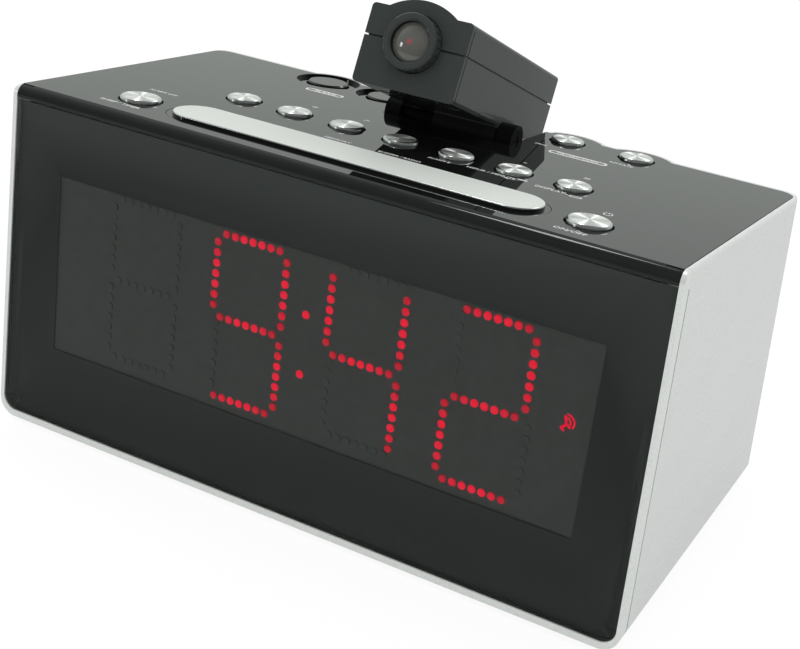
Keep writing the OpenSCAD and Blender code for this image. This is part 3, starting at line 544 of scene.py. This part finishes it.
def makeSnoozeBar():
    satin, edge, under, sideShadeAndCarrier = range(4)
    materials = [satinMetal(), finishes["polishedEdge"], finishes["mattePlastic"], finishes["glossCover"]]
    top = bar["plate"]["high"]
    mesh = bmesh.new()
    addPill(mesh, **bar["plate"])
    mesh.normal_update()
    rim = [e for e in mesh.edges if all(abs(v.co.z - top * mm) < tiny for v in e.verts)]
    rollEdge(mesh, rim, bar["fillet"])
    # the satin top, the rolled edge, and the plate's sides in the cover's black, which is painted shade
    # below the top; the carrier shares that black
    for face in mesh.faces:
        height = face.calc_center_median().z / mm
        if height > top - bar["faceDepth"]:
            face.material_index = satin
        elif height > top - bar["fillet"]:
            face.material_index = edge
        else:
            face.material_index = sideShadeAndCarrier
    painted = set(mesh.faces)
    addPill(mesh, **bar["carrier"])
    for face in set(mesh.faces) - painted:
        face.material_index = sideShadeAndCarrier
    painted = set(mesh.faces)
    addPill(mesh, **bar["flange"])
    stemTop = bar["flange"]["low"]
    for x in bar["stems"]:
        bmesh.ops.create_cone(mesh, cap_ends=True, segments=24, radius1=bar["stemRadius"] * mm,
                              radius2=bar["stemRadius"] * mm, depth=(stemTop - bar["stemFoot"]) * mm,
                              matrix=shifted(x, 0, (stemTop + bar["stemFoot"]) / 2))
    for face in set(mesh.faces) - painted:
        face.material_index = under
    place = topFrame @ shifted(0, bar["slotRun"] + bar["back"], 0)
    piece = finishPiece("snooze_bar_formed", mesh, place, materials, "snooze_bar_body",
                        sharp=40)
    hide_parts("snooze_bar")


makeSnoozeBar()
print("snooze bar is made")


# printed marks on the top cover: plain words for what the keys do
ink = {
    "lift": 0.03,
    "thickness": 0.025,
    # the word, x across the clock, the run up its cover and the size of the letters
    "words": [
        ("SLEEP / TIMER", -79.8, 9.9, 2.6), ("ALARM OFF", -81.5, 35, 2.1), ("ON/OFF", 78, 8, 2.8),
        ("DISPLAY", 56.4, 43.6, 2.7), ("HOUR / MINUTE", 36.2, 44.2, 2.3), ("ALARM 2", 18.7, 43, 1.9),
        ("BUZZER / RADIO", 9, 34.9, 2.0), ("MEMORY", -13.4, 34.9, 2.4), ("PROJ.", 31, 94.5, 1.9),
        ("ROTATE", 59.7, 94.8, 2.2), ("PROJECTION", 46.5, 89, 2.5), ("ALARM", -51.4, 89, 2.9),
        # short bars and arrow heads behind the row of keys
        ("=", -41.4, 66.3, 4.4), (">", -20.9, 66.3, 4.4), ("-", 38, 66.3, 4.4), ("=", 59.2, 66.3, 4.4),
    ],
    # two loops round the words between the rear and the black keys, two small ones beside other words
    "loopSides": 24,
    "loops": [
        dict(left=-57.2, right=-45.7, run=89, radius=1.9, line=0.8),
        dict(left=38, right=55.1, run=89, radius=1.9, line=0.8),
        dict(left=45.2, right=47.6, run=45.4, radius=0.5, line=0.4),
        dict(left=64, right=66.4, run=42.6, radius=0.9, line=0.4),
    ],
}
powerMark = {"x": 79.2, "run": 33.9, "radius": 1.5, "sides": 28, "inner": 0.78, "gapFrom": 1.2,
             "strokeSize": 0.5, "strokeShape": (0.3, 1.5, 1), "strokeUp": 1.1}


def addWord(mesh, word, x, run, size):
    curve = bpy.data.curves.new("word", "FONT")
    curve.body = word
    curve.size = size * mm
    curve.align_x = "CENTER"
    curve.align_y = "CENTER"
    curve.resolution_u = 2
    curve.offset = 0.015 * mm  # a little bolder
    holder = bpy.data.objects.new("word", curve)
    bpy.context.scene.collection.objects.link(holder)
    bpy.context.view_layer.update()
    flat = bpy.data.meshes.new_from_object(holder.evaluated_get(bpy.context.evaluated_depsgraph_get()))
    bpy.data.objects.remove(holder)
    flat.transform(shifted(x, run, ink["lift"]))
    mesh.from_mesh(flat)


def addRing(mesh, radius, sides, innerShare):
    # a flat ring round the origin, given back as its outer and inner points
    outer = bmesh.ops.create_circle(mesh, cap_ends=False, radius=radius * mm, segments=sides)["verts"]
    outerEdges = list({e for v in outer for e in v.link_edges})
    inner = onlyVerts(bmesh.ops.extrude_edge_only(mesh, edges=outerEdges)["geom"])
    bmesh.ops.scale(mesh, vec=(innerShare, innerShare, 1), verts=inner)
    return outer, inner


def addLoop(mesh, left, right, run, radius, line):
    outer, inner = addRing(mesh, radius, ink["loopSides"], 1 - line / radius)
    for vert in outer + inner:
        vert.co.x += right * mm if vert.co.x > 0 else left * mm
        vert.co.y += run * mm
        vert.co.z = ink["lift"] * mm


def addPowerMark(mesh):
    # a broken ring with a stroke in its gap
    outer, inner = addRing(mesh, powerMark["radius"], powerMark["sides"], powerMark["inner"])
    gap = {f for v in outer for f in v.link_faces if f.calc_center_median().y > powerMark["gapFrom"] * mm}
    bmesh.ops.delete(mesh, geom=list(gap), context="FACES")
    size = powerMark["strokeSize"] * mm
    stroke = bmesh.ops.create_grid(mesh, x_segments=1, y_segments=1, size=size)["verts"]
    bmesh.ops.scale(mesh, vec=powerMark["strokeShape"], verts=stroke)
    bmesh.ops.translate(mesh, vec=(0, powerMark["strokeUp"] * mm, 0), verts=stroke)
    bmesh.ops.transform(mesh, matrix=shifted(powerMark["x"], powerMark["run"], ink["lift"]),
                        verts=[v for v in outer + inner + stroke if v.is_valid])


def makePrint():
    mesh = bmesh.new()
    for word in ink["words"]:
        addWord(mesh, *word)
    for loop in ink["loops"]:
        addLoop(mesh, **loop)
    addPowerMark(mesh)
    loose = [v for v in mesh.verts if not v.link_faces]
    bmesh.ops.delete(mesh, geom=loose, context="VERTS")
    bmesh.ops.solidify(mesh, geom=mesh.faces, thickness=ink["thickness"] * mm)
    finishPiece("printed_marks", mesh, topFrame, [finishes["printedInk"]], "case")


makePrint()
print("print is on the cover")


# the display: places are measured across the leaning front and up it
display = {
    "depth": 3,
    "colour": (1.0, 0.003, 0.038),
    "strengths": (1.03, 0.85, 0.63, 0.34),
    "dim": 0.85,
    "middleUp": 61.2,
    "shift": -1.45,
    "colonX": 0.6,
    "colonUp": (51.2, 71.1),
    "tones": (0, 0, 1, 2),  # from the middle dot of a bar to its end dots
}
# the seven bars of a digit: their middles, and the steps from dot to dot
digitBars = {
    "top": (0, 27.5, 3.27, 0), "middle": (0, -0.1, 3.27, 0), "bottom": (0, -27.3, 3.27, 0),
    "upperLeft": (-12.7, 13.9, 0, 3.5), "upperRight": (12.7, 13.9, 0, 3.5),
    "lowerLeft": (-12.7, -13.6, 0, 3.5), "lowerRight": (12.7, -13.6, 0, 3.5),
}
# nine, four and two, with the x of each digit
digits = {
    -19.1: ("top", "middle", "bottom", "upperLeft", "upperRight", "lowerRight"),
    22.8: ("middle", "upperLeft", "upperRight", "lowerRight"),
    64.7: ("top", "middle", "bottom", "upperRight", "lowerLeft"),
}
dot = {"outline": [(0, 0.3), (0.6, 0.29), (1.12, 0.23), (1.28, 0.13), (1.36, 0.02), (0, 0.02)],
       "sides": 16, "crown": 0.2}
reception = {
    "place": (89.3, 64.8, 0.1),
    "thickness": 0.05,
    "mast": [(-1.7, -2.2), (-0.5, -0.5), (-1.1, 1.6)], "mastWidth": 0.75,
    "legs": ([(-0.5, -0.5), (0.6, -1.5)], [(-2.0, -1.9), (-1.1, -2.7)]), "legWidth": 0.6,
    "waveX": -0.6, "waves": (1.35, 2.5), "waveAngles": (-0.5, -0.1, 0.3, 0.7, 1.1, 1.5), "waveWidth": 0.55,
}
displayFrame = frontFrame @ shifted(0, display["depth"], 0) @ tipped(math.pi / 2)
litTones = [glowing("litDot%d" % index, display["colour"], strength, display["dim"])
            for index, strength in enumerate(display["strengths"])]


def addDot(mesh, x, up, tone):
    # a low dome whose rim glows one tone less
    made = spinOutline(mesh, dot["outline"], dot["sides"])
    for face in {f for v in made for f in v.link_faces}:
        face.material_index = tone if face.calc_center_median().z > dot["crown"] * mm else tone + 1
    bmesh.ops.translate(mesh, vec=(x * mm, up * mm, 0), verts=made)


def makeDigits():
    mesh = bmesh.new()
    last = len(display["tones"]) - 1
    for digitX, lit in digits.items():
        for barName in lit:
            x, up, stepX, stepUp = digitBars[barName]
            for place in range(-last, last + 1):
                addDot(mesh, digitX + x + place * stepX + display["shift"],
                       display["middleUp"] + up + place * stepUp, display["tones"][abs(place)])
    for up in display["colonUp"]:
        addDot(mesh, display["colonX"], up, display["tones"][0])
    piece = finishPiece("display_dots_lit", mesh, displayFrame, litTones, "case", sharp=60)
    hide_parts("led_dots_lit")


def addStroke(mesh, points, width):
    for start, end in zip(map(Vector, points), map(Vector, points[1:])):
        along = (end - start).normalized() * width / 2
        sideShadeAndCarrier = Vector((-along.y, along.x))
        corners = [start - along + sideShadeAndCarrier, start - along - sideShadeAndCarrier, end + along - sideShadeAndCarrier, end + along + sideShadeAndCarrier]
        mesh.faces.new([mesh.verts.new((c.x * mm, c.y * mm, 0)) for c in corners])


def makeReceptionMark():
    # small lit mast with two waves beside the last digit
    mesh = bmesh.new()
    addStroke(mesh, reception["mast"], reception["mastWidth"])
    for leg in reception["legs"]:
        addStroke(mesh, leg, reception["legWidth"])
    for radius in reception["waves"]:
        wave = [(reception["waveX"] + radius * math.cos(angle), radius * math.sin(angle))
                for angle in reception["waveAngles"]]
        addStroke(mesh, wave, reception["waveWidth"])
    bmesh.ops.solidify(mesh, geom=mesh.faces, thickness=reception["thickness"] * mm)
    place = displayFrame @ shifted(*reception["place"])
    finishPiece("reception_mark", mesh, place, [litTones[0]], "case")


makeDigits()
makeReceptionMark()
print("display is lit")


# the stage, in metres: a floor that keeps the clock's shadow, a white room and three soft lamps
floorLook = {
    "radius": 4, "sides": 96, "colour": (0.80, 0.81, 0.80), "roughness": 0.9, "specular": 0.2,
    "toEye": (1, 1, 1), "eyeStrength": 1.05, "eyeShare": 0.85,
    "toMirror": (0.95, 1, 0.97), "mirrorStrength": 0.68, "mirrorShare": 0.85,
}
room = {
    "strength": 1.0,
    # what metal and gloss see from the ground up to the ceiling
    "low": (0.66, 0.70, 0.67), "middle": (0.90, 0.92, 0.90), "high": (0.38, 0.39, 0.39),
    "heights": ((0.36, "low"), (0.50, "middle"), (0.75, "middle")),
    # the camera's side of the room is dim, and its far side is bright
    "farSide": (-0.52, 0.85, 0), "dimTo": -0.2, "brightFrom": 0.45, "dim": 0.22,
}
lamps = {
    "softKey": dict(place=(-0.5, 0.2, 1.7), aim=(0, 0, 0.06), size=(0.45, 0.2), power=4.5),
    "softWindow": dict(place=(-1.35, -1.14, 0.55), aim=(0, 0, 0.12), size=(0.22, 0.28), power=1.4),
    "softBack": dict(place=(0.5, 1.3, 1.2), aim=(0, 0, 0.06), size=(0.8, 0.4), power=3.5),
}


def paleFloor():
    # the eye and mirrors see nearly white, all other rays see the plain colour
    pale = Finish("paleFloor", Base_Color=toned(floorLook["colour"]), Roughness=floorLook["roughness"],
                  Specular_IOR_Level=floorLook["specular"])
    ray = pale.node("ShaderNodeLightPath").outputs
    eyeGlow = pale.node("ShaderNodeEmission", Color=toned(floorLook["toEye"]),
                        Strength=floorLook["eyeStrength"])
    mirrorGlow = pale.node("ShaderNodeEmission", Color=toned(floorLook["toMirror"]),
                           Strength=floorLook["mirrorStrength"])
    passing = pale.node("ShaderNodeMath", ray["Is Glossy Ray"], ray["Is Transmission Ray"],
                        operation="MAXIMUM")
    mirrorShare = pale.node("ShaderNodeMath", passing.outputs["Value"], floorLook["mirrorShare"],
                            operation="MULTIPLY")
    eyeShare = pale.node("ShaderNodeMath", ray["Is Camera Ray"], floorLook["eyeShare"], operation="MULTIPLY")
    toMirror = pale.node("ShaderNodeMixShader", mirrorShare.outputs["Value"], pale.shader.outputs["BSDF"],
                         mirrorGlow.outputs["Emission"])
    toEye = pale.node("ShaderNodeMixShader", eyeShare.outputs["Value"], toMirror.outputs["Shader"],
                      eyeGlow.outputs["Emission"])
    fill(pale.tree, pale.tree.nodes["Material Output"], Surface=toEye.outputs["Shader"])
    return pale.material


def makeFloor():
    mesh = bmesh.new()
    bmesh.ops.create_circle(mesh, cap_ends=True, radius=floorLook["radius"], segments=floorLook["sides"])
    data = bpy.data.meshes.new("floor")
    mesh.to_mesh(data)
    mesh.free()
    data.materials.append(paleFloor())
    plane = bpy.data.objects.new("floor", data)
    bpy.context.scene.collection.objects.link(plane)


def makeRoom():
    # white to the eye, but mirrored as a grey horizon below a pale wall and a darker ceiling
    world = bpy.data.worlds.new("studio")
    bpy.context.scene.world = world
    world.use_nodes = True
    tree = world.node_tree
    around = addNode(tree, "ShaderNodeTexCoord").outputs["Generated"]
    parts = addNode(tree, "ShaderNodeSeparateXYZ", Vector=around)
    height = addNode(tree, "ShaderNodeValToRGB", Fac=parts.outputs["Z"])
    stops = height.color_ramp.elements
    stops[0].color = toned(room["low"])
    stops[1].color = toned(room["high"])
    for place, name in room["heights"]:
        stops.new(place).color = toned(room[name])
    behind = addNode(tree, "ShaderNodeVectorMath", around, room["farSide"], operation="DOT_PRODUCT")
    daylight = addNode(tree, "ShaderNodeMapRange", Value=behind.outputs["Value"],
                       From_Min=room["dimTo"], From_Max=room["brightFrom"], To_Min=room["dim"])
    walls = addNode(tree, "ShaderNodeVectorMath", height.outputs["Color"], operation="SCALE",
                    Scale=daylight.outputs["Result"])
    ray = addNode(tree, "ShaderNodeLightPath").outputs
    seen = addMix(tree, ray["Is Glossy Ray"], toned((1, 1, 1)), walls.outputs["Vector"])
    fill(tree, tree.nodes["Background"], Color=seen, Strength=room["strength"])


def addLamp(name, place, aim, size, power):
    made = bpy.data.objects.new(name, bpy.data.lights.new(name, "AREA"))
    bpy.context.scene.collection.objects.link(made)
    made.data.shape = "RECTANGLE"
    made.data.size, made.data.size_y = size
    made.data.energy = power
    made.location = place
    made.rotation_euler = (Vector(aim) - Vector(place)).to_track_quat("-Z", "Y").to_euler()


makeFloor()
makeRoom()
for lampName, values in lamps.items():
    addLamp(lampName, **values)
bpy.context.scene.view_settings.view_transform = "Standard"
print("stage is lit")
